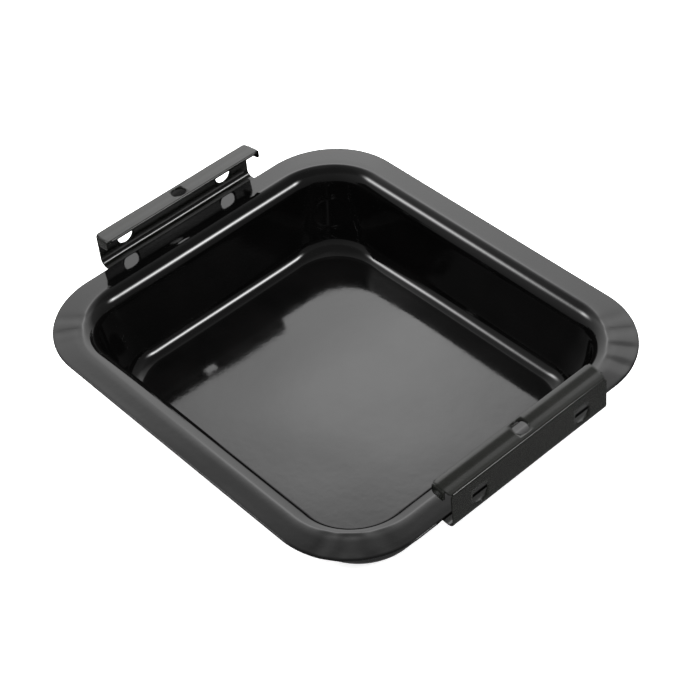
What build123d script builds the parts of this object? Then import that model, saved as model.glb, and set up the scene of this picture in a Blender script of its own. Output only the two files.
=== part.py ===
from build123d import *
from math import cos, radians, tan
import os

# Oil drain pan: one drawn steel tray and two folded sheet handles, spot-welded under its rim.
# Millimetres. X runs from handle to handle, Y along the handles, +Z up.
# The origin is the middle of the flat underside.

# ---- sheet ----
sheet = 1.0                  # 0.8 mm steel with enamel on both faces

# ---- tray ----
rim_length = 301.5           # along X, over the rim
rim_width = 263.5            # along Y, over the rim
rim_corner = 53.5            # plan radius of the rim's corners
pan_height = 55.0            # underside of the floor to the top of the rim
rim_flat = 14.5              # flat part of the rim, in from its outer edge
roll_radius = 12.0           # roll from the rim down into the wall, on its visible face
draft = 8.0                  # taper of the walls, degrees from upright
floor_radius = 8.5           # inside radius between the walls and the floor
mouth_corner = 30.0          # plan radius of the wall corners at the rim
floor_corner = 33.0          # plan radius of the wall corners at the floor
lip_drop = 2.4               # height of the turned-down lip round the rim
rim_edge_radius = 0.8        # rounding of the rim's outer top edge

# ---- handles ----
handle_length = 122.0        # web and foot, along Y
foot_overlap = 10.0          # foot under the rim
web_reach = 7.4              # rim edge to the inner face of the web, at the foot
web_lean = 0.4               # how far the web leans back towards the pan at its top
handle_height = 23.4         # top of the rim to the top of the plate
plate_reach = 7.05           # inner edge of the top plate, in from the rim edge
foot_bend = 4.0              # inside radius between foot and web
plate_bend = 0.8             # inside radius between web and top plate
hem_width = 2.6              # closed hem along the inner edge of the top plate
hem_thickness = 2.2
hem_rise = 1.1               # the hem stands this much above the plate
end_tab_drop = 7.2           # end tabs turned down from the plate's two ends
end_tab_stand = 1.6          # end tabs stand this much beyond the web's ends
end_tab_gap = 3.6            # relief between an end tab and the inner face of the web
end_tab_bend = 0.8           # inside radius where an end tab turns down
end_tab_corner = 2.0         # rounded lower corners of an end tab
plate_hole = 9.8             # diameter of the hole in the middle of the top plate
plate_hole_reach = -0.35     # its centre, out from the rim edge
web_hole = 12.0              # diameter of the two holes in the web
web_hole_spacing = 81.0
web_hole_height = 9.5        # centre of the web holes above the top of the rim

rim_top = pan_height
rim_underside = pan_height - sheet
half_length = rim_length / 2
plate_top = rim_top + handle_height
plate_underside = plate_top - sheet
plate_inner_edge = half_length - plate_reach


def rounded_section(inset, corner, height):
    """Rounded rectangle set in from the rim's outline, at one height."""
    size = (rim_length - 2 * inset, rim_width - 2 * inset)
    return Plane.XY.offset(height) * RectangleRounded(*size, corner)


def tapered_block(grow, bottom, top):
    """Tapered block between two heights: the cavity's shape, grown outwards by grow."""
    def section(height):
        down = rim_top - height
        share = down / (pan_height - sheet)
        inset = mouth_inset + down * tan(radians(draft)) - grow / cos(radians(draft))
        corner = mouth_corner + share * (floor_corner - mouth_corner) + grow
        return rounded_section(inset, corner, height)
    return loft([section(bottom), section(top)])


def level_edges(shape, height):
    """Edges that lie in one horizontal plane."""
    return shape.edges().filter_by_position(Axis.Z, height - 0.01, height + 0.01)


def inset_of(edge):
    """How far the middle of an edge lies inside the rim's outline."""
    middle = edge.center()
    return min(rim_length / 2 - abs(middle.X), rim_width / 2 - abs(middle.Y))


def wall_edges(shape, height):
    """Edges round the walls at one height, without those of the rim."""
    return level_edges(shape, height).filter_by(lambda edge: inset_of(edge) > rim_edge_band)


def rim_edges(shape, height):
    """Edges round the outside of the rim at one height."""
    return level_edges(shape, height).filter_by(lambda edge: inset_of(edge) < rim_edge_band)


# the rim's outline, corners included, is less than this far in from its bounding rectangle
rim_edge_band = rim_corner * (1 - cos(radians(45))) + 1

# the wall's flat would meet the rim's flat here, if the roll were a sharp edge
mouth_inset = rim_flat + roll_radius * tan(radians(90 - draft) / 2)


def make_tray():
    """Floor, walls and rim, drawn from one sheet."""
    rim = extrude(rounded_section(0, rim_corner, rim_underside), amount=sheet)
    body = tapered_block(sheet, 0, rim_underside)
    shell = rim + body
    shell = fillet(wall_edges(shell, rim_underside), roll_radius - sheet)
    shell = fillet(wall_edges(shell, 0), floor_radius + sheet)

    cavity = tapered_block(0, sheet, rim_top)
    cavity = fillet(cavity.edges().group_by(Axis.Z)[0], floor_radius)
    shell = shell - cavity
    shell = fillet(wall_edges(shell, rim_top), roll_radius)

    lip_bottom = rim_top - lip_drop
    lip = extrude(rounded_section(0, rim_corner, lip_bottom), amount=lip_drop - sheet)
    lip = lip - extrude(rounded_section(sheet, rim_corner - sheet, lip_bottom), amount=lip_drop - sheet)
    for side in (-1, 1):
        notch = Box(20, handle_length + 1, lip_drop - sheet, align=(Align.CENTER, Align.CENTER, Align.MIN))
        lip = lip - Pos(side * half_length, 0, lip_bottom) * notch
    shell = shell + lip
    return fillet(rim_edges(shell, rim_top), rim_edge_radius)


def handle_section():
    """Section of the folded sheet in the XZ plane: foot, web and top plate."""
    inner_face = FilletPolyline(
        (half_length - foot_overlap, rim_underside),
        (half_length + web_reach, rim_underside),
        (half_length + web_reach - web_lean, plate_underside),
        (plate_inner_edge + hem_width / 2, plate_underside),
        radius=[foot_bend, plate_bend],
    )
    return Plane.XZ * make_face(offset(inner_face, amount=sheet, side=Side.RIGHT, closed=True))


def end_tab():
    """Tab turned down from the +Y end of the top plate, with a relief between it and the web."""
    inner_y = handle_length / 2 + end_tab_stand - sheet
    inner_face = FilletPolyline(
        (handle_length / 2 - sheet, plate_underside),
        (inner_y, plate_underside),
        (inner_y, plate_top - end_tab_drop),
        radius=end_tab_bend,
    )
    section = Plane.YZ * make_face(offset(inner_face, amount=sheet, side=Side.LEFT, closed=True))
    outer_x = half_length + web_reach - web_lean - end_tab_gap
    tab = Pos(plate_inner_edge, 0, 0) * extrude(section, amount=outer_x - plate_inner_edge)
    lower_corners = tab.edges().filter_by(Axis.Y).group_by(Axis.Z)[0]
    return fillet(lower_corners, end_tab_corner)


def make_handle():
    """Right-hand handle: a channel that is open towards the pan."""
    handle = extrude(handle_section(), amount=handle_length / 2, both=True)
    hem_section = Plane.XZ * RectangleRounded(hem_width, hem_thickness, hem_thickness / 2 - 0.01)
    hem = extrude(hem_section, amount=handle_length / 2, both=True)
    handle += Pos(plate_inner_edge + hem_width / 2, 0, plate_top + hem_rise - hem_thickness / 2) * hem
    tab = end_tab()
    handle += [tab, mirror(tab, about=Plane.XZ)]

    handle -= Pos(half_length + plate_hole_reach, 0, plate_top) * Cylinder(plate_hole / 2, 6 * sheet)
    for side in (-1, 1):
        web_hole_place = Pos(half_length + web_reach, side * web_hole_spacing / 2, rim_top + web_hole_height)
        handle -= web_hole_place * Rot(0, 90, 0) * Cylinder(web_hole / 2, 6 * sheet)
    return handle


tray = make_tray()
right_handle = make_handle()
left_handle = mirror(right_handle, about=Plane.YZ)

os.makedirs("parts", exist_ok=True)
for name, part in (("tray", tray), ("left_handle", left_handle), ("right_handle", right_handle)):
    export_step(part, f"parts/{name}.step")
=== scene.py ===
"""Oil drain pan in black vitreous enamel: a drawn tray and two folded sheet handles."""
import math
import bpy
from mathutils import Matrix, Vector, noise


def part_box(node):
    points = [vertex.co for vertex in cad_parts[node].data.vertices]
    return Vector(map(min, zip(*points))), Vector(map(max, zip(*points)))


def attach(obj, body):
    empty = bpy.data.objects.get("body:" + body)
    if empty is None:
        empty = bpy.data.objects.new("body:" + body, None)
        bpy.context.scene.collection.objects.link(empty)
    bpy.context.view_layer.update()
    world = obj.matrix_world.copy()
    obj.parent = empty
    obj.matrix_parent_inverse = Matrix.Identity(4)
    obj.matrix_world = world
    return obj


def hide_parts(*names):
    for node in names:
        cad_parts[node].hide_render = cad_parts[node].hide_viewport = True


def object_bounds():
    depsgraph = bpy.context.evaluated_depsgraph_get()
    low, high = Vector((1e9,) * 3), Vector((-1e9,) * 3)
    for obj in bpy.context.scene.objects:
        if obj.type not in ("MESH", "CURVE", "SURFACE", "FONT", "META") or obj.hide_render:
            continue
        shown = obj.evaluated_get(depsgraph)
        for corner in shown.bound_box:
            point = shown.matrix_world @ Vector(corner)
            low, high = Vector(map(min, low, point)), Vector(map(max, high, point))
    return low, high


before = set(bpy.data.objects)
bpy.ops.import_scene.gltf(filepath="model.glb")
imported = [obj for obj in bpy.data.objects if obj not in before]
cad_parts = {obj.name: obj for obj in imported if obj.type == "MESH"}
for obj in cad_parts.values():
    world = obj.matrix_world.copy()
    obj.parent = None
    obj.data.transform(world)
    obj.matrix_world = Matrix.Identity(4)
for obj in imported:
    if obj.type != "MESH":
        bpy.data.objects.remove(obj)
cad_low, cad_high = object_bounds()

MM = 0.001
SHEET = 1.0 * MM

# ---- the view ----
VIEW_AZIMUTH = 51.857            # degrees, 0 looks along +Y
VIEW_ELEVATION = 44.021
VIEW_ROLL = -6.291
VIEW_DISTANCE = 1.1015
VIEW_LENS = 95.165               # mm, on a 36 mm sensor
VIEW_AIM = (16.8 * MM, -7.0 * MM, 54.0 * MM)

# ---- tray: sizes that the frame's boxes don't give ----
RIM_CORNER = 53.5 * MM           # plan radius of the rim's corners
RIM_FLAT = 14.5 * MM             # flat part of the rim, in from its edge
RIM_FALL = math.radians(3.6)     # the flat part of the rim falls away outwards
CREST_RADIUS = 70.0 * MM         # the rim's soft crown, between its fall and the roll
ROLL_RADIUS = 12.0 * MM
WALL_TILT = math.radians(82.0)   # the wall's normal, away from straight up
FLOOR_RADIUS = 10.5 * MM
CREST_CORNER = 46.0 * MM         # plan radius of the corners where the rim's flat part ends
MOUTH_CORNER = 30.0 * MM         # plan radius of the wall corners at the mouth
FLOOR_CORNER = 37.0 * MM         # plan radius of the wall corners where the floor's fillet starts
FLAT_CORNER = 36.0 * MM          # plan radius of the corners of the floor's flat part
FLOOR_OFF_X = 1.3 * MM           # the floor isn't quite centred under the rim
FLOOR_OFF_Y = -0.8 * MM
EDGE_RADIUS = 0.7 * MM           # rim into lip
LIP_DROP = 2.35 * MM
LIP_NOTCH = 61.5 * MM            # the lip stops this far from the middle, at each handle
FLOOR_RISE_X = 1.0 * MM          # the floor's unintended rise along X, away from the -X wall
FLOOR_RISE_Y = 0.4 * MM          # the same along Y, towards the +Y wall
LIP_STEPS = 6                    # round the lower edge of the lip
FLOOR_STEPS = 26                 # rings on the flat of the floor
INNERMOST = 0.012                # share of the floor's size that the smallest ring has

tray_low, tray_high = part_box("tray")
handle_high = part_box("right_handle")[1]
RIM_TOP = tray_high.z
HALF_LENGTH = tray_high.x
HALF_WIDTH = tray_high.y
PAN_DEPTH = RIM_TOP - SHEET - tray_low.z
UPPER_WALL = 0.3 * PAN_DEPTH     # below here the walls take on the corners and the lie of the floor


def aim_camera():
    """Camera aimed at a point just under the plane of the rim."""
    azimuth, elevation, roll = (math.radians(a) for a in (VIEW_AZIMUTH, VIEW_ELEVATION, VIEW_ROLL))
    back = Vector((
        math.sin(azimuth) * math.cos(elevation),
        -math.cos(azimuth) * math.cos(elevation),
        math.sin(elevation),
    ))
    level = Vector((math.cos(azimuth), math.sin(azimuth), 0))
    right = level * math.cos(roll) + back.cross(level) * math.sin(roll)
    turn = Matrix((right, back.cross(right), back)).transposed()
    data = bpy.data.cameras.new("camera")
    data.lens = VIEW_LENS
    data.sensor_width = 36.0
    camera = bpy.data.objects.new("camera", data)
    bpy.context.scene.collection.objects.link(camera)
    camera.matrix_world = Matrix.Translation(Vector(VIEW_AIM) + back * VIEW_DISTANCE) @ turn.to_4x4()
    bpy.context.scene.camera = camera


# ---------------------------------------------------------------- meshes

def add_mesh(name, points, faces, material):
    """New smooth-shaded object from points and faces."""
    mesh = bpy.data.meshes.new(name)
    mesh.from_pydata(points, [], faces)
    mesh.materials.append(material)
    for polygon in mesh.polygons:
        polygon.use_smooth = True
    mesh.update()
    piece = bpy.data.objects.new(name, mesh)
    bpy.context.scene.collection.objects.link(piece)
    return piece


def smooth_step(low, high, value):
    """0 below low, 1 above high, and an even rise between them."""
    share = min(1.0, max(0.0, (value - low) / (high - low)))
    return share * share * (3 - 2 * share)


# ---------------------------------------------------------------- tray

CORNER_STEPS = 40
SIDE_STEPS = 48


def outline(half_x, half_y, corner):
    """Rounded rectangle, anticlockwise from the start of the +X +Y corner, as (x, y) pairs.
    Every outline has the same number of points, so that outlines join into rings."""
    points = []
    for quarter in range(4):
        start = quarter * math.pi / 2
        sign_x = (1, -1, -1, 1)[quarter]
        sign_y = (1, 1, -1, -1)[quarter]
        centre = Vector((sign_x * (half_x - corner), sign_y * (half_y - corner)))
        for step in range(CORNER_STEPS + 1):
            angle = start + step / CORNER_STEPS * math.pi / 2
            points.append(centre + corner * Vector((math.cos(angle), math.sin(angle))))
        next_x = (-1, -1, 1, 1)[quarter]
        next_y = (1, -1, -1, 1)[quarter]
        next_centre = Vector((next_x * (half_x - corner), next_y * (half_y - corner)))
        end_angle = start + math.pi / 2
        goal = next_centre + corner * Vector((math.cos(end_angle), math.sin(end_angle)))
        last = points[-1]
        for step in range(1, SIDE_STEPS):
            points.append(last.lerp(goal, step / SIDE_STEPS))
    return points


def arc(centre, radius, first, last, steps, side=1):
    """Section points round an arc, as (inset, height, tilt).
    Tilt is the normal's angle from straight up."""
    made = []
    for step in range(steps + 1):
        tilt = first + (last - first) * step / steps
        inset = centre[0] + side * radius * math.sin(tilt)
        height = centre[1] + side * radius * math.cos(tilt)
        made.append((inset, height, tilt))
    return made


def run(start, end, steps):
    """Section points between two section points, without the two themselves."""
    return [tuple(a + (b - a) * step / steps for a, b in zip(start, end)) for step in range(1, steps)]


# how far the rim's outer edge lies below its crest
EDGE_FALL = (RIM_FLAT - CREST_RADIUS * math.sin(RIM_FALL)) * math.tan(RIM_FALL)
EDGE_FALL += CREST_RADIUS * (1 - math.cos(RIM_FALL))


def tray_section():
    """The tray's visible face from the bottom of the lip to the edge of the flat floor.
    Heights are from the top of the rim, insets from its outer edge."""
    quarter = math.pi / 2
    crown = arc((RIM_FLAT, -CREST_RADIUS), CREST_RADIUS, -RIM_FALL, 0, 8)
    roll = arc((RIM_FLAT, -ROLL_RADIUS), ROLL_RADIUS, 0, WALL_TILT, 24)[1:]
    edge = arc((EDGE_RADIUS, -EDGE_RADIUS - EDGE_FALL), EDGE_RADIUS, -quarter, -RIM_FALL, 8)
    lip = [(0, SHEET / 2 - LIP_DROP, -quarter), (0, (SHEET / 2 - LIP_DROP + edge[0][1]) / 2, -quarter)]
    # the wall's plane and the floor's plane meet at sharp_inset
    sharp_inset = RIM_FLAT + ROLL_RADIUS * math.tan(WALL_TILT / 2) + PAN_DEPTH / math.tan(WALL_TILT)
    floor_inset = sharp_inset + FLOOR_RADIUS * math.tan(WALL_TILT / 2)
    fillet = arc((floor_inset, FLOOR_RADIUS - PAN_DEPTH), FLOOR_RADIUS, WALL_TILT, 0, 18, side=-1)
    return lip + edge + run(edge[-1], crown[0], 10) + crown + roll + run(roll[-1], fillet[0], 12) + fillet


def corner_at(inset, height):
    """Plan radius of the corners at a point of the visible section."""
    mouth_end = RIM_FLAT + ROLL_RADIUS * math.sin(WALL_TILT)
    fillet_start = PAN_DEPTH - FLOOR_RADIUS * (1 - math.cos(WALL_TILT))
    if inset < RIM_FLAT:
        return RIM_CORNER + inset / RIM_FLAT * (CREST_CORNER - RIM_CORNER)
    if inset < mouth_end:
        share = (inset - RIM_FLAT) / (mouth_end - RIM_FLAT)
        return CREST_CORNER + share * (MOUTH_CORNER - CREST_CORNER)
    if -height < fillet_start:
        share = smooth_step(UPPER_WALL, fillet_start, -height)
        return MOUTH_CORNER + share * (FLOOR_CORNER - MOUTH_CORNER)
    return FLOOR_CORNER + smooth_step(fillet_start, PAN_DEPTH, -height) * (FLAT_CORNER - FLOOR_CORNER)


# drawing wrinkles in the rim's corners: corner as (sign x, sign y), degrees round it from the X axis,
# depth and width in mm
WRINKLES = (
    ((1, 1), 69, 0.24, 4.2),
    ((1, 1), 53.5, 0.36, 4.4),
    ((1, 1), 35, 0.34, 4.4),
    ((1, 1), 17.5, 0.26, 4.2),
    ((-1, -1), 41, 0.32, 3.6),
    ((-1, -1), 56.5, 0.36, 3.6),
    ((-1, -1), 67, 0.20, 3.6),
    ((1, -1), 64, 0.26, 4.2),
    ((1, -1), 49, 0.34, 4.0),
    ((1, -1), 39, 0.28, 3.8),
    ((1, -1), 20, 0.18, 5.0),
)


def wrinkle_height(x, y, inset):
    """Change of height that the wrinkles make at a point of the rim: never above 0."""
    # a little shallower at the rim's edge, and fading out over the start of the roll
    across = 0.65 + 0.35 * smooth_step(0, 5 * MM, inset)
    across *= 1 - smooth_step(RIM_FLAT - 2 * MM, RIM_FLAT + 4 * MM, inset)
    if across == 0:
        return 0.0
    centre_x = HALF_LENGTH - RIM_CORNER
    centre_y = HALF_WIDTH - RIM_CORNER
    total = 0.0
    for (sign_x, sign_y), degrees, depth, width in WRINKLES:
        from_x = sign_x * x - centre_x
        from_y = sign_y * y - centre_y
        if from_x < 0 and from_y < 0:
            continue
        radius = math.hypot(from_x, from_y)
        gap = (math.atan2(from_y, from_x) - math.radians(degrees)) * radius
        total -= depth * MM * math.exp(-((gap / (width * MM)) ** 2))
    return total * across


def unevenness(x, y, size, height, seed):
    """Slow hand-made unevenness of a pressed surface."""
    return height * noise.noise(Vector((x / size, y / size, seed)))


def floor_lie(x, y):
    """How far the floor strays from flat: it rises away from the -X wall and towards the +Y wall."""
    along = smooth_step(-90 * MM, -15 * MM, x) - 0.6
    share = 0.55 + 0.45 * smooth_step(-75 * MM, -15 * MM, y)
    across = smooth_step(45 * MM, 92 * MM, y) - 0.5
    return FLOOR_RISE_X * share * along + FLOOR_RISE_Y * across


def off_centre(height):
    """How far the section at a height stands off the rim's middle, along X and Y."""
    share = smooth_step(0.1 * PAN_DEPTH, PAN_DEPTH, -height)
    return FLOOR_OFF_X * share, FLOOR_OFF_Y * share


def relief(x, y, inset, height):
    """How far the pressed and enamelled surface strays from its nominal height at a point."""
    on_rim = smooth_step(0.5 * MM, 5 * MM, inset)
    on_floor = smooth_step(PAN_DEPTH - 5 * MM, PAN_DEPTH, -height)
    total = wrinkle_height(x, y, inset)
    total += unevenness(x, y, size=60 * MM, height=0.10 * MM, seed=1.5) * on_rim * (1 - on_floor)
    total += floor_lie(x, y) * smooth_step(UPPER_WALL, PAN_DEPTH - FLOOR_RADIUS, -height)
    return total + unevenness(x, y, size=48 * MM, height=0.12 * MM, seed=3.5) * on_floor


def build_tray(material):
    """Closed sheet: rings from the middle of the underside out to the lip, and back over the top.
    The underside of the floor is flat, so the floor's thickness varies with the relief above it."""
    section = tray_section()
    rings = []

    def lip_share(x, y):
        """1 where the lip is whole, 0 beside a handle's foot."""
        if abs(x) < HALF_LENGTH - 3 * MM:
            return 1.0
        return smooth_step(LIP_NOTCH, LIP_NOTCH + 3 * MM, abs(y))

    def in_lip(tilt):
        """Whether the section is steeper there than the rim's own fall: its rounded edge and the lip."""
        return tilt < -2 * RIM_FALL

    def ring(inset, height, corner, visible_inset, shortens=False, flat_below=False):
        """One ring of points at an inset and height. shortens is for rings on the lip, which is cut
        short beside the handles, and flat_below for rings on the flat underside."""
        made = []
        off_x, off_y = off_centre(height)
        for x, y in outline(HALF_LENGTH - inset, HALF_WIDTH - inset, corner):
            z = height
            if shortens:
                shortest = SHEET / (LIP_DROP - EDGE_FALL)
                z = -EDGE_FALL + (height + EDGE_FALL) * (shortest + lip_share(x, y) * (1 - shortest))
            if not flat_below:
                z += relief(x, y, visible_inset, height)
            made.append((x + off_x, y + off_y, RIM_TOP + z))
        return made

    def floor_ring(share, height, uneven):
        """One ring on the flat of the floor, shrunk towards its middle."""
        inset, edge_height, _ = section[-1]
        corner = FLAT_CORNER * share
        made = []
        off_x, off_y = off_centre(-PAN_DEPTH)
        for x, y in outline((HALF_LENGTH - inset) * share, (HALF_WIDTH - inset) * share, corner):
            z = height + (relief(x, y, inset, edge_height) if uneven else 0.0)
            made.append((x + off_x, y + off_y, RIM_TOP + z))
        return made

    shares = [INNERMOST] + [step / FLOOR_STEPS for step in range(1, FLOOR_STEPS)]
    for share in shares:
        rings.append(floor_ring(share, -PAN_DEPTH - SHEET, uneven=False))
    for inset, height, tilt in reversed(section):
        corner = corner_at(inset, height)
        under_inset = inset - SHEET * math.sin(tilt)
        under_height = height - SHEET * math.cos(tilt)
        under_corner = corner + SHEET * math.sin(tilt)
        low = height < -PAN_DEPTH / 2
        rings.append(ring(under_inset, under_height, under_corner, inset, in_lip(tilt), low))
    for step in range(1, LIP_STEPS):
        angle = step / LIP_STEPS * math.pi
        inset = SHEET / 2 * (1 + math.cos(angle))
        height = SHEET / 2 - LIP_DROP - SHEET / 2 * math.sin(angle)
        rings.append(ring(inset, height, RIM_CORNER - inset, 0, True))
    for inset, height, tilt in section:
        rings.append(ring(inset, height, corner_at(inset, height), inset, in_lip(tilt)))
    for share in reversed(shares):
        rings.append(floor_ring(share, -PAN_DEPTH, uneven=True))

    count = len(rings[0])
    points = [point for one in rings for point in one]
    faces = []
    for row in range(len(rings) - 1):
        for column in range(count):
            following = (column + 1) % count
            faces.append((row * count + column, (row + 1) * count + column,
                          (row + 1) * count + following, row * count + following))
    faces.append(tuple(range(count)))
    faces.append(tuple(reversed(range((len(rings) - 1) * count, len(rings) * count))))
    return add_mesh("pan_tray", points, faces, material)


# ---------------------------------------------------------------- handles

class SheetPath:
    """Middle line of a folded sheet: straight runs joined by tangent arcs, measured by distance along it."""

    def __init__(self, corners):
        """corners are (a, b, radius); the first and last have radius 0."""
        self.pieces = []
        self.length = 0.0
        spots = [Vector(corner[:2]) for corner in corners]
        here = spots[0]
        for index in range(1, len(corners)):
            ahead = (spots[index] - spots[index - 1]).normalized()
            heading = math.atan2(ahead.y, ahead.x)
            radius = corners[index][2]
            turn = 0.0
            if index + 1 < len(corners):
                after = (spots[index + 1] - spots[index]).normalized()
                turn = math.atan2(ahead.cross(after), ahead.dot(after))
            trim = radius * math.tan(abs(turn) / 2)
            self._add((spots[index] - here).length - trim, here, heading, 0.0)
            if turn:
                start = spots[index] - ahead * trim
                self._add(radius * abs(turn), start, heading, math.copysign(1 / radius, turn))
                here = spots[index] + after * trim

    def _add(self, length, start, heading, bend):
        self.pieces.append((self.length, length, start, heading, bend))
        self.length += length

    def at(self, distance):
        """The point at a distance along the path."""
        for begin, length, start, heading, bend in self.pieces:
            if distance <= begin + length or begin + length >= self.length - 1e-9:
                done = distance - begin
                if not bend:
                    return start + done * Vector((math.cos(heading), math.sin(heading)))
                after = heading + bend * done
                return start + Vector((
                    (math.sin(after) - math.sin(heading)) / bend,
                    (math.cos(heading) - math.cos(after)) / bend,
                ))

    def bend(self, number):
        """Distances at which a bend starts and ends. Bends count from 1, as the inner corners do."""
        begin, length = [piece[:2] for piece in self.pieces if piece[4]][number - 1]
        return begin, begin + length

    def bend_stops(self):
        """Distances at every few degrees round the bends."""
        stops = []
        for begin, length, _, _, bend in self.pieces:
            if bend:
                steps = math.ceil(length * abs(bend) / math.radians(9))
                stops += [begin + length * k / steps for k in range(steps + 1)]
        return stops

    def where(self, level, axis=0, after=0.0):
        """The first distance, after a given one, at which the path crosses a level."""
        step = 0.05 * MM
        distance = after
        side = self.at(distance)[axis] > level
        while (self.at(distance)[axis] > level) == side:
            distance += step
        return distance


def grid_lines(firm, soft, spacing):
    """Lines at the firm stops, at the soft stops that aren't too near another, and evenly between them."""
    stops = sorted(set(firm))
    for stop in soft:
        if all(abs(stop - other) > 0.15 * MM for other in stops):
            stops.append(stop)
    stops.sort()
    lines = [stops[0]]
    for low, high in zip(stops, stops[1:]):
        count = math.ceil((high - low) / spacing)
        lines += [low + (high - low) * k / count for k in range(1, count + 1)]
    return lines


def pierced_grid(u_lines, v_lines, exists, holes):
    """Flat grid of quads with round holes. Each hole is (u, v, radius, half): the square of that
    half size round it must lie on grid lines, and quads fan from the square to the circle.
    Returns (u, v) pairs and faces."""
    points, index, faces = [], {}, []

    def vertex(u, v):
        key = (round(u, 7), round(v, 7))
        if key not in index:
            index[key] = len(points)
            points.append((u, v))
        return index[key]

    def in_block(u, v):
        return any(abs(u - cu) < half and abs(v - cv) < half for cu, cv, _, half in holes)

    for u0, u1 in zip(u_lines, u_lines[1:]):
        for v0, v1 in zip(v_lines, v_lines[1:]):
            u, v = (u0 + u1) / 2, (v0 + v1) / 2
            if exists(u, v) and not in_block(u, v):
                faces.append((vertex(u0, v0), vertex(u1, v0), vertex(u1, v1), vertex(u0, v1)))
    for cu, cv, radius, half in holes:
        us = [u for u in u_lines if abs(u - cu) <= half + 1e-7]
        vs = [v for v in v_lines if abs(v - cv) <= half + 1e-7]
        border = [(u, vs[0]) for u in us] + [(us[-1], v) for v in vs[1:]]
        border += [(u, vs[-1]) for u in reversed(us[:-1])] + [(us[0], v) for v in reversed(vs[1:-1])]
        outer = [vertex(u, v) for u, v in border]
        inner = []
        for u, v in border:
            reach = math.hypot(u - cu, v - cv)
            inner.append(vertex(cu + (u - cu) * radius / reach, cv + (v - cv) * radius / reach))
        for k in range(len(border)):
            n = (k + 1) % len(border)
            faces.append((outer[k], outer[n], inner[n], inner[k]))
    return points, faces


TOUCH = 1e-6                     # metres, for comparing places along a sheet
TOP_MARGIN = 0.12 * MM           # room for the handles' unevenness inside the CAD model's box
END_MARGIN = 0.05 * MM
FOOT_OVERLAP = 10.0 * MM         # foot under the rim
FOOT_DROP = 1.66 * SHEET         # middle of the foot's sheet, below the top of the rim's outer edge
FOOT_FALL = 0.7 * MM             # the foot slopes down by this much from the rim's edge to the web
FOOT_EASE = 8.0 * MM             # bend radius where that slope starts
FOOT_BEND = 4.4 * MM             # bend radius between foot and web
WEB_LEAN = 0.5 * MM
FOLD_BEND = 3                    # which bend of the section is the fold between web and plate
FOLD_RADIUS = 0.8 * MM
FOLD_DROP = 1.35 * MM            # that fold, below the bead on the plate's inner edge
FOLD_CORNER = 2.4 * MM           # rounding of the sheet's corners at the two ends of that fold
# the plate's dip: distance from the web, share of FOLD_DROP that it lies low, bend radius
PLATE_DIP = ((3.0 * MM, 0.75, 12.0 * MM), (6.4 * MM, 0.6, 9.0 * MM))
BEAD_WIDTH = 3.2 * MM            # level bead along the plate's inner edge
BEAD_RADIUS = 7.0 * MM
HEM_BEND = 7                     # which bend of the section starts the hem
HEM_RADIUS = 0.6 * MM
HEM_FALL = 1.25 * MM             # the hem turns down this far and then back under the plate
HEM_END_FALL = 1.2 * MM          # its end lies a little nearer to the plate
HEM_REACH = 2.0 * MM
HANDLE_HALF = 61.0 * MM          # half length of the web
TAB_STAND = 1.1 * MM             # middle of an end tab's sheet, beyond the web's end
TAB_BEND = 1.3 * MM
TAB_DROP = 7.0 * MM
TAB_GAP = 3.6 * MM               # relief between an end tab and the web
TAB_CORNER = 2.0 * MM
HEM_STOP = 60.0 * MM             # half length of the hem
WEB_HOLE_RADIUS = 6.0 * MM
WEB_HOLE_REACH = 40.5 * MM
WEB_HOLE_HEIGHT = 9.5 * MM       # above the rim
PLATE_INNER_X = HALF_LENGTH - 7.05 * MM
PLATE_HOLE_RADIUS = 4.9 * MM
PLATE_HOLE_X = HALF_LENGTH - 0.35 * MM
WEB_HOLE_BLOCK = 7.0 * MM        # half size of the square of quads round a hole
PLATE_HOLE_BLOCK = 5.6 * MM


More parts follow.
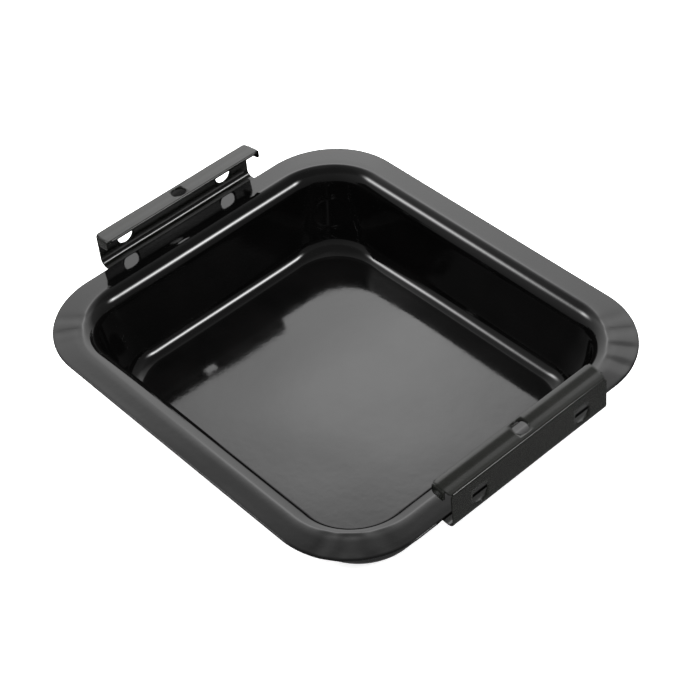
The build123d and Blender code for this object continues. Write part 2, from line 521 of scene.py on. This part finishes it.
def build_handle(name, side, material):
    """One folded handle. side is 1 at the +X end and -1 at the other."""
    top = handle_high.z - SHEET / 2 - TOP_MARGIN
    web_foot_x = handle_high.x - SHEET / 2 - END_MARGIN
    web_top_x = web_foot_x - WEB_LEAN
    inner_x = PLATE_INNER_X + SHEET / 2
    # the foot lies just clear of the underside of the sloping rim
    foot_edge_z = RIM_TOP - EDGE_FALL - FOOT_DROP
    section = SheetPath((
        (HALF_LENGTH - FOOT_OVERLAP, foot_edge_z + FOOT_OVERLAP * math.tan(RIM_FALL), 0),
        (HALF_LENGTH, foot_edge_z, FOOT_EASE),
        (web_foot_x, foot_edge_z - FOOT_FALL, FOOT_BEND),
        (web_top_x, top - FOLD_DROP, FOLD_RADIUS),
        *((web_top_x - away, top - share * FOLD_DROP, radius) for away, share, radius in PLATE_DIP),
        (inner_x + BEAD_WIDTH, top, BEAD_RADIUS),
        (inner_x, top, HEM_RADIUS),
        (inner_x, top - HEM_FALL, HEM_RADIUS),
        (inner_x + HEM_REACH, top - HEM_END_FALL, 0),
    ))
    tab_y = HANDLE_HALF + TAB_STAND
    tab = SheetPath(((0, 0, 0), (tab_y, 0, TAB_BEND), (tab_y, SHEET / 2 - TAB_DROP, 0)))

    fold_start, plate_start = section.bend(FOLD_BEND)
    web_hole_u = section.where(RIM_TOP + WEB_HOLE_HEIGHT, axis=1)
    plate_hole_u = section.where(PLATE_HOLE_X, after=plate_start)
    relief_u = section.where(web_top_x - SHEET / 2 - TAB_GAP, after=plate_start)
    hem_u = section.bend(HEM_BEND)[0]
    holes = [(web_hole_u, end * WEB_HOLE_REACH, WEB_HOLE_RADIUS, WEB_HOLE_BLOCK) for end in (-1, 1)]
    holes.append((plate_hole_u, 0, PLATE_HOLE_RADIUS, PLATE_HOLE_BLOCK))

    firm_u = [0, relief_u, relief_u + TAB_CORNER, hem_u - TAB_CORNER, hem_u, section.length]
    firm_u += [u + reach for u, _, _, half in holes for reach in (-half, half)]
    firm_v = [tab.length - TAB_CORNER, tab.length, HANDLE_HALF, HEM_STOP, PLATE_HOLE_BLOCK]
    firm_v += [WEB_HOLE_REACH - WEB_HOLE_BLOCK, WEB_HOLE_REACH + WEB_HOLE_BLOCK]
    fold_u = (fold_start + plate_start) / 2
    fold_stops = [fold_u + step * FOLD_CORNER / 5 for step in range(-5, 6)]
    u_lines = grid_lines(firm_u, section.bend_stops() + fold_stops, spacing=1.4 * MM)
    firm_v += [-v for v in firm_v]
    soft_v = tab.bend_stops() + [-v for v in tab.bend_stops()]
    v_lines = grid_lines(firm_v, soft_v, spacing=1.6 * MM)

    def exists(u, v):
        if u > hem_u:
            return abs(v) < HEM_STOP
        return abs(v) < HANDLE_HALF or u > relief_u

    points, faces = pierced_grid(u_lines, v_lines, exists, holes)

    def rounded(u, v):
        """Rounds the ends of the fold and an end tab's two lower corners."""
        off_fold = abs(u - fold_u)
        if off_fold < FOLD_CORNER:
            cut = FOLD_CORNER - math.sqrt(FOLD_CORNER ** 2 - (FOLD_CORNER - off_fold) ** 2)
            near_end = smooth_step(HANDLE_HALF - 6 * MM, HANDLE_HALF, abs(v))
            return u, math.copysign(abs(v) - cut * near_end, v)
        low_v = tab.length - TAB_CORNER
        if abs(v) <= low_v:
            return u, v
        for corner_u, direction in ((relief_u + TAB_CORNER, -1), (hem_u - TAB_CORNER, 1)):
            a = (u - corner_u) * direction / TAB_CORNER
            b = (abs(v) - low_v) / TAB_CORNER
            if 0 <= a <= 1.0001:
                return (corner_u + direction * TAB_CORNER * a * math.sqrt(1 - b * b / 2),
                        math.copysign(low_v + TAB_CORNER * b * math.sqrt(1 - a * a / 2), v))
        return u, v

    placed = []
    for u, v in points:
        u, v = rounded(u, v)
        x, z = section.at(u)
        y, drop = v, 0.0
        if relief_u - TOUCH <= u <= hem_u + TOUCH:
            y, drop = tab.at(abs(v))
            y = math.copysign(y, v)
        x += unevenness(y, z, size=30 * MM, height=0.12 * MM, seed=7.5)
        z += drop + unevenness(x, y, size=30 * MM, height=0.10 * MM, seed=4.5)
        placed.append((side * x, y, z))
    if side < 0:
        faces = [tuple(reversed(face)) for face in faces]
    handle = add_mesh(name, placed, faces, material)
    solid = handle.modifiers.new("sheet", "SOLIDIFY")
    solid.thickness = SHEET
    solid.offset = 0
    edge = handle.modifiers.new("enamelled edge", "BEVEL")
    edge.width = 0.38 * MM
    edge.segments = 3
    edge.limit_method = "ANGLE"
    edge.angle_limit = math.radians(50)
    # the bevel leaves slivers at its corners, and the weld removes them
    weld = handle.modifiers.new("no slivers", "WELD")
    weld.merge_threshold = 0.01 * MM
    return handle


# ---------------------------------------------------------------- materials

def new_material(name):
    """Material with its nodes on. Returns it with its tree and shader."""
    material = bpy.data.materials.new(name)
    material.use_nodes = True
    tree = material.node_tree
    return material, tree, tree.nodes["Principled BSDF"]


def add_noise(tree, scale, detail, roughness=0.5):
    """Noise in object space, in metres."""
    place = tree.nodes.new("ShaderNodeTexCoord")
    texture = tree.nodes.new("ShaderNodeTexNoise")
    texture.inputs["Scale"].default_value = scale
    texture.inputs["Detail"].default_value = detail
    texture.inputs["Roughness"].default_value = roughness
    tree.links.new(place.outputs["Object"], texture.inputs["Vector"])
    return texture.outputs["Fac"]


def remapped(tree, value, low, high, from_low=0.3, from_high=0.7):
    """A noise value stretched to a range."""
    node = tree.nodes.new("ShaderNodeMapRange")
    node.inputs["From Min"].default_value = from_low
    node.inputs["From Max"].default_value = from_high
    node.inputs["To Min"].default_value = low
    node.inputs["To Max"].default_value = high
    tree.links.new(value, node.inputs["Value"])
    return node.outputs["Result"]


def enamel(name, dark, light, rough_low, rough_high, peel_depth):
    """Glossy black vitreous enamel: faint orange peel, cloudy gloss and a slight cast in the black."""
    material, tree, shader = new_material(name)
    shader.inputs["IOR"].default_value = 1.52
    clouds = add_noise(tree, scale=28, detail=5)
    ramp = tree.nodes.new("ShaderNodeValToRGB")
    ramp.color_ramp.elements[0].color = (*dark, 1)
    ramp.color_ramp.elements[1].color = (*light, 1)
    ramp.color_ramp.elements[0].position = 0.35
    ramp.color_ramp.elements[1].position = 0.65
    tree.links.new(clouds, ramp.inputs["Fac"])
    tree.links.new(ramp.outputs["Color"], shader.inputs["Base Color"])
    gloss_clouds = add_noise(tree, scale=60, detail=6, roughness=0.6)
    cloudy_gloss = remapped(tree, gloss_clouds, rough_low, rough_high)
    tree.links.new(cloudy_gloss, shader.inputs["Roughness"])
    peel = tree.nodes.new("ShaderNodeBump")
    peel.inputs["Strength"].default_value = 0.25
    peel.inputs["Distance"].default_value = peel_depth
    tree.links.new(add_noise(tree, scale=330, detail=4), peel.inputs["Height"])
    swell = tree.nodes.new("ShaderNodeBump")
    swell.inputs["Strength"].default_value = 0.5
    swell.inputs["Distance"].default_value = 0.05 * MM
    tree.links.new(add_noise(tree, scale=90, detail=2), swell.inputs["Height"])
    tree.links.new(peel.outputs["Normal"], swell.inputs["Normal"])
    tree.links.new(swell.outputs["Normal"], shader.inputs["Normal"])
    return material


# ---------------------------------------------------------------- studio

# brightness of the surroundings by direction, in degrees from +X towards +Y and from level
BACKDROP_RADIANCE = 2.6
BACKDROP_AROUND = (
    (-180, 0.36), (-160, 0.2), (-140, 0.14), (-115, 0.08), (-60, 0.04), (60, 0.04),
    (88, 0.08), (98, 0.3), (108, 0.5), (118, 0.57), (128, 0.78), (138, 0.96),
    (144, 0.92), (150, 0.77), (158, 0.6), (166, 0.5), (180, 0.38),
)
BACKDROP_ABOVE = (
    (-90, 0.05), (-2, 0.05), (2, 0.45), (12, 0.68), (22, 0.85), (34, 0.96), (44, 1.0),
    (46.5, 0.92), (48, 0.72), (50, 0.5), (54, 0.3), (59, 0.1), (70, 0.06), (90, 0.04),
)
ROOM_ABOVE = ((-90, 0.2), (-1, 0.2), (1, 0.1), (90, 0.14))
# soft bright patches: azimuth, elevation, spread, brightness at the middle
GLOWS = (
    (141.5, 45.6, 4.5, 1.3),
    (32.5, 39.3, 5.8, 21),
    (-145.5, 44, 6.5, 11),
    (-170, 52, 14, 0.15),
)


def build_floor():
    """Wide pale floor under the pan."""
    material, tree, shader = new_material("pale_floor")
    shader.inputs["Base Color"].default_value = (0.9, 0.9, 0.9, 1)
    shader.inputs["Roughness"].default_value = 0.9
    shader.inputs["Emission Color"].default_value = (1, 1, 1, 1)
    shader.inputs["Emission Strength"].default_value = 0.8
    count = 96
    radius = 8.0
    points = []
    for step in range(count):
        angle = step / count * math.tau
        points.append((radius * math.cos(angle), radius * math.sin(angle), cad_low.z))
    floor = add_mesh("studio_floor", points, [tuple(range(count))], material)
    floor.visible_glossy = False


def softbox(name, azimuth, elevation, distance, width, height, radiance):
    """Rectangular light aimed at the pan, out of sight of the camera and of reflections."""
    data = bpy.data.lights.new(name, "AREA")
    data.shape = "RECTANGLE"
    data.size = width
    data.size_y = height
    data.energy = radiance * math.pi * width * height
    light = bpy.data.objects.new(name, data)
    a, e = math.radians(azimuth), math.radians(elevation)
    out = Vector((math.cos(a) * math.cos(e), math.sin(a) * math.cos(e), math.sin(e)))
    light.location = out * distance
    light.rotation_mode = "QUATERNION"
    light.rotation_quaternion = (-out).to_track_quat("-Z", "Y")
    light.visible_camera = False
    light.visible_glossy = False
    bpy.context.scene.collection.objects.link(light)


def degrees_ramp(tree, angle, low, high, stops):
    """Grey ramp over an angle. stops are (degrees, level), from low to high."""
    share = tree.nodes.new("ShaderNodeMapRange")
    share.inputs["From Min"].default_value = math.radians(low)
    share.inputs["From Max"].default_value = math.radians(high)
    tree.links.new(angle, share.inputs["Value"])
    ramp = tree.nodes.new("ShaderNodeValToRGB")
    places = [(degrees - low) / (high - low) for degrees, _ in stops]
    ramp.color_ramp.elements[0].position = places[0]
    ramp.color_ramp.elements[1].position = places[-1]
    for place in places[1:-1]:
        ramp.color_ramp.elements.new(place)
    for element, (_, level) in zip(ramp.color_ramp.elements, stops):
        element.color = (level, level, level, 1)
    tree.links.new(share.outputs["Result"], ramp.inputs["Fac"])
    return ramp.outputs["Color"]


def calculated(tree, operation, *values):
    """A math node on sockets or numbers."""
    node = tree.nodes.new("ShaderNodeMath")
    node.operation = operation
    for socket, value in zip(node.inputs, values):
        if isinstance(value, bpy.types.NodeSocket):
            tree.links.new(value, socket)
        else:
            socket.default_value = value
    return node.outputs["Value"]


def glow(tree, direction, azimuth, elevation, spread, radiance):
    """Soft-edged bright patch of the surroundings. spread is in degrees."""
    a, e = math.radians(azimuth), math.radians(elevation)
    facing = tree.nodes.new("ShaderNodeVectorMath")
    facing.operation = "DOT_PRODUCT"
    facing.inputs[1].default_value = (math.cos(a) * math.cos(e), math.sin(a) * math.cos(e), math.sin(e))
    tree.links.new(direction, facing.inputs[0])
    fall = calculated(tree, "SUBTRACT", facing.outputs["Value"], 1.0)
    fall = calculated(tree, "MULTIPLY", fall, 2 / math.radians(spread) ** 2)
    return calculated(tree, "MULTIPLY", calculated(tree, "EXPONENT", fall), radiance)


def build_world():
    """Dim studio surroundings: a broad pale backdrop beyond the far corner, and soft-edged lights."""
    world = bpy.data.worlds.new("studio")
    bpy.context.scene.world = world
    world.use_nodes = True
    tree = world.node_tree
    place = tree.nodes.new("ShaderNodeTexCoord")
    direction = place.outputs["Generated"]
    split = tree.nodes.new("ShaderNodeSeparateXYZ")
    tree.links.new(direction, split.inputs["Vector"])
    around = calculated(tree, "ARCTAN2", split.outputs["Y"], split.outputs["X"])
    above = calculated(tree, "ARCSINE", split.outputs["Z"])
    total = calculated(
        tree, "MULTIPLY",
        degrees_ramp(tree, around, -180, 180, BACKDROP_AROUND),
        degrees_ramp(tree, above, -90, 90, BACKDROP_ABOVE),
    )
    total = calculated(tree, "MULTIPLY", total, BACKDROP_RADIANCE)
    total = calculated(tree, "ADD", total, degrees_ramp(tree, above, -90, 90, ROOM_ABOVE))
    for patch in GLOWS:
        total = calculated(tree, "ADD", total, glow(tree, direction, *patch))
    tree.links.new(total, tree.nodes["Background"].inputs["Strength"])
    tree.nodes["Background"].inputs["Color"].default_value = (1, 1, 1, 1)


aim_camera()
build_world()
build_floor()
softbox("overhead", azimuth=0, elevation=90, distance=2.4, width=4.0, height=4.0, radiance=3.4)
bpy.context.scene.view_settings.view_transform = "Standard"

tray_enamel = enamel(
    "black_enamel", dark=(0.0013, 0.0013, 0.0013), light=(0.0023, 0.0022, 0.0022),
    rough_low=0.06, rough_high=0.1, peel_depth=0.05 * MM,
)
handle_enamel = enamel(
    "handle_enamel", dark=(0.0032, 0.0035, 0.0027), light=(0.0050, 0.0053, 0.0043),
    rough_low=0.12, rough_high=0.2, peel_depth=0.07 * MM,
)

tray = build_tray(tray_enamel)
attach(tray, "root")
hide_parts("tray")
for side, node in ((1, "right_handle"), (-1, "left_handle")):
    handle = build_handle(node + "_channel", side, handle_enamel)
    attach(handle, "root")
    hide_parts(node)
